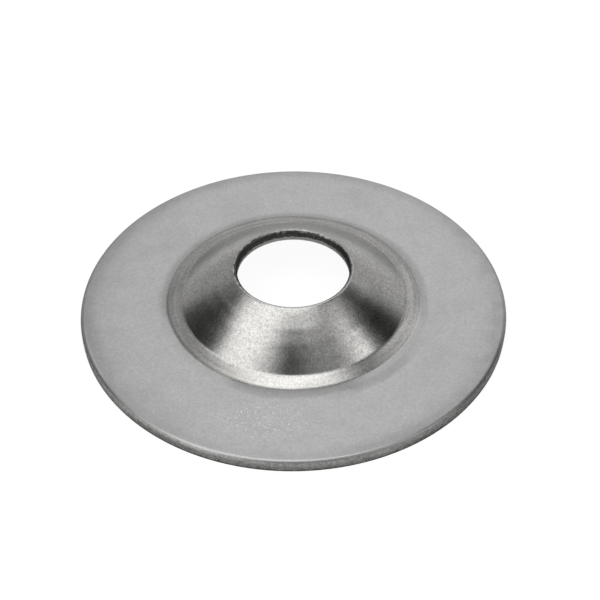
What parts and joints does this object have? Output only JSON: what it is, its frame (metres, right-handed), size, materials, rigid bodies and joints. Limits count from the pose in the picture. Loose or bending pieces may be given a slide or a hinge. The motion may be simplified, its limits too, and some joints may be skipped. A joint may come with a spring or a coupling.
{
  "type": "dished flange washer",
  "caption": "Pressed sheet steel washer with a wide flat flange, a raised hollow cone and a punched centre hole.",
  "frame": {"origin": "centre of the flange's underside, on the washer's axis", "axes": "+Z along the washer's axis, from the flange towards the top of the cone"},
  "size_m": [0.05, 0.05, 0.0062],
  "materials": {
    "steel": "bare pressed sheet steel, satin on the flange and brighter on the drawn cone"
  },
  "bodies": {
    "root": {"washer": "steel"}
  },
  "joints": []
}
